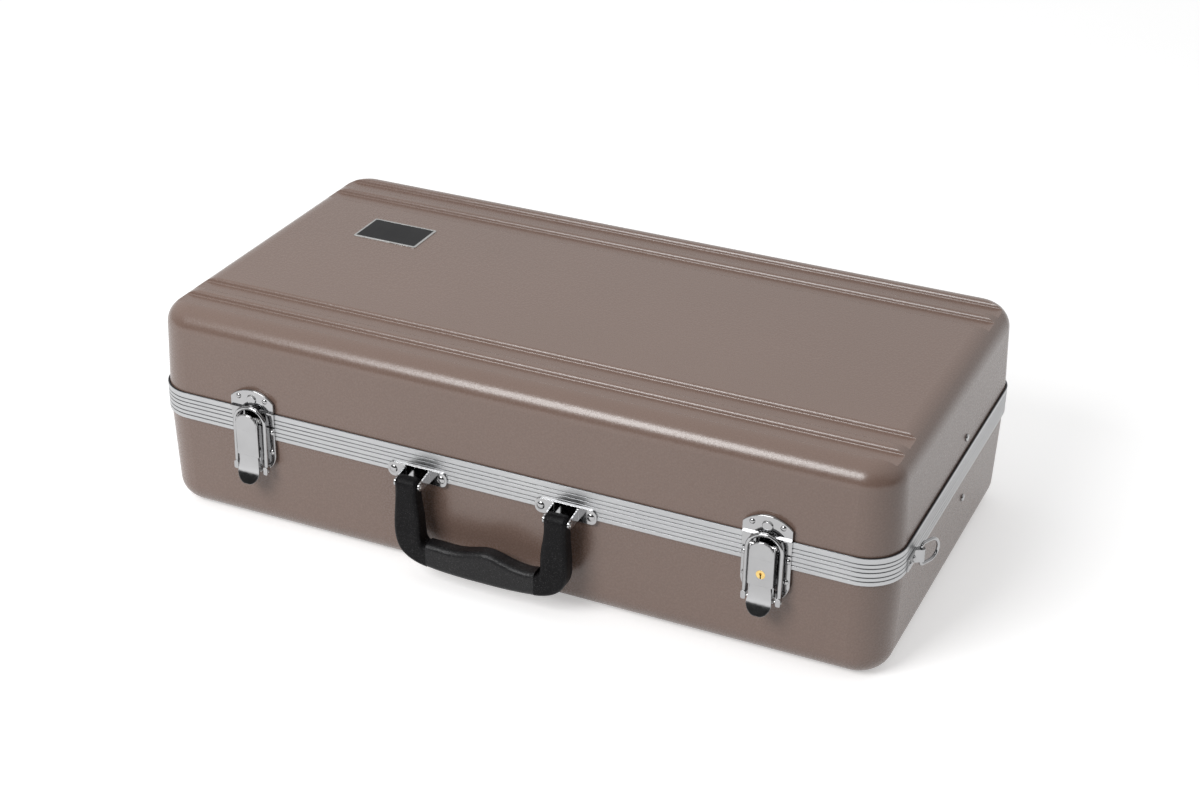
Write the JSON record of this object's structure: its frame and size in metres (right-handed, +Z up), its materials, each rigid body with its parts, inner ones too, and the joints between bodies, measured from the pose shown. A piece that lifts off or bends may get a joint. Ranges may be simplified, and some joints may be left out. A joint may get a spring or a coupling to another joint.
{
  "type": "trumpet case",
  "caption": "Hard two-shell trumpet case with a ribbed metal frame, draw latches, a lock, a carrying handle, strap rings, a lid stay and a padded trumpet cradle.",
  "frame": {"origin": "middle of the flat underside of the base, on the plane it rests on", "axes": "+X along the case to the lock end, +Y to the hinges, +Z up; the handle and latches face -Y"},
  "size_m": [0.5844, 0.3214, 0.1603],
  "materials": {
    "abs_shell": "pebbled satin, warm grey taupe",
    "aluminium": "brushed ribbed extrusion",
    "chrome": "polished nickel chrome",
    "steel": "plain bright steel",
    "brass": "turned",
    "black_plastic": "fine pebble",
    "grip_plastic": "fine pebble, slightly softer",
    "silver_trim": "satin",
    "black_enamel": "smooth, bare",
    "plush": "short pile",
    "webbing": "woven",
    "foam": "closed-cell foam",
    "rubber": "moulded"
  },
  "bodies": {
    "base": {"base_shell": "abs_shell", "base_valance": "aluminium", "cradle": "plush", "mouthpiece_block": "foam", "compartment_pin": "steel", "latch_base_left": "chrome", "latch_base_right": "chrome", "latch_upper_rivets": "chrome", "latch_lower_rivets": "chrome", "latch_pin_left": "steel", "latch_pin_right": "steel", "handle_bracket_left": "chrome", "handle_bracket_right": "chrome", "handle_pins": "steel", "handle_rivets": "chrome", "ring_bracket_left": "chrome", "ring_bracket_right": "chrome", "ring_rivets": "chrome", "hinge_base_leaf_left": "chrome", "hinge_base_leaf_right": "chrome", "hinge_pins": "steel", "hinge_base_rivets": "chrome", "stay_base_rivet": "chrome", "base_feet": "rubber", "neck_strap": "webbing", "strap_studs": "chrome"},
    "lid": {"lid_shell": "abs_shell", "lid_valance": "aluminium", "badge_frame": "silver_trim", "badge_plate": "black_enamel", "keeper_left": "chrome", "keeper_right": "chrome", "keeper_rivets": "chrome", "hinge_lid_leaf_left": "chrome", "hinge_lid_leaf_right": "chrome", "hinge_lid_rivets": "chrome", "lid_pad": "plush", "stay_lid_rivet": "chrome", "lid_feet": "rubber"},
    "left_latch": {"latch_lever_left": "chrome", "finger_tab_left": "chrome"},
    "right_latch": {"latch_lever_right": "chrome", "finger_tab_right": "chrome"},
    "left_bail": {"bail_left": "chrome", "bail_rod_left": "steel"},
    "right_bail": {"bail_right": "chrome", "bail_rod_right": "steel"},
    "lock": {"lock_plug": "brass", "lock_cam": "steel"},
    "handle": {"handle_frame": "black_plastic", "handle_grip": "grip_plastic"},
    "left_ring": {"strap_ring_left": "chrome"},
    "right_ring": {"strap_ring_right": "chrome"},
    "stay_lower": {"stay_lower_arm": "steel", "stay_mid_rivet": "steel"},
    "stay_upper": {"stay_upper_arm": "steel"},
    "compartment_lid": {"compartment_lid": "plush", "pull_tab": "webbing"}
  },
  "joints": [
    {"name": "lid_hinge", "type": "hinge", "parent": "base", "child": "lid", "pos_m": [0, 0.1499, 0.0863], "axis": [-1, 0, 0], "range_deg": [0, 100]},
    {"name": "stay_lower_pivot", "type": "hinge", "parent": "base", "child": "stay_lower", "pos_m": [0.2698, 0.025, 0.055], "axis": [-1, 0, 0], "range_deg": [0, 100]},
    {"name": "stay_upper_pivot", "type": "hinge", "parent": "lid", "child": "stay_upper", "pos_m": [0.2718, 0.018, 0.107], "axis": [1, 0, 0], "range_deg": [0, 100]},
    {"name": "left_latch", "type": "hinge", "parent": "base", "child": "left_latch", "pos_m": [-0.1945, -0.1542, 0.0936], "axis": [-1, 0, 0], "range_deg": [0, 110]},
    {"name": "left_bail", "type": "hinge", "parent": "left_latch", "child": "left_bail", "pos_m": [-0.1945, -0.1532, 0.053], "axis": [1, 0, 0], "range_deg": [0, 154]},
    {"name": "right_latch", "type": "hinge", "parent": "base", "child": "right_latch", "pos_m": [0.1945, -0.1542, 0.0936], "axis": [-1, 0, 0], "range_deg": [0, 110]},
    {"name": "right_bail", "type": "hinge", "parent": "right_latch", "child": "right_bail", "pos_m": [0.1945, -0.1532, 0.053], "axis": [1, 0, 0], "range_deg": [0, 154]},
    {"name": "lock_turn", "type": "hinge", "parent": "right_latch", "child": "lock", "pos_m": [0.1945, -0.1572, 0.0733], "axis": [0, -1, 0], "range_deg": [0, 90]},
    {"name": "handle_hinge", "type": "hinge", "parent": "base", "child": "handle", "pos_m": [-0.0056, -0.161, 0.0773], "axis": [-1, 0, 0], "range_deg": [-4, 95]},
    {"name": "left_ring_swivel", "type": "hinge", "parent": "base", "child": "left_ring", "pos_m": [-0.284, -0.1005, 0.0813], "axis": [0, 0, 1], "range_deg": [-22, 140]},
    {"name": "right_ring_swivel", "type": "hinge", "parent": "base", "child": "right_ring", "pos_m": [0.284, -0.1005, 0.0813], "axis": [0, 0, -1], "range_deg": [-22, 140]},
    {"name": "compartment_hinge", "type": "hinge", "parent": "base", "child": "compartment_lid", "pos_m": [-0.154, -0.073, 0.081], "axis": [-1, 0, 0], "range_deg": [0, 100]}
  ],
  "couplings": [
    {"joint": "stay_lower_pivot", "follows": "lid_hinge", "ratio": 1},
    {"joint": "stay_upper_pivot", "follows": "lid_hinge", "ratio": 1},
    {"joint": "left_bail", "follows": "left_latch", "ratio": 1.4},
    {"joint": "right_bail", "follows": "right_latch", "ratio": 1.4}
  ]
}
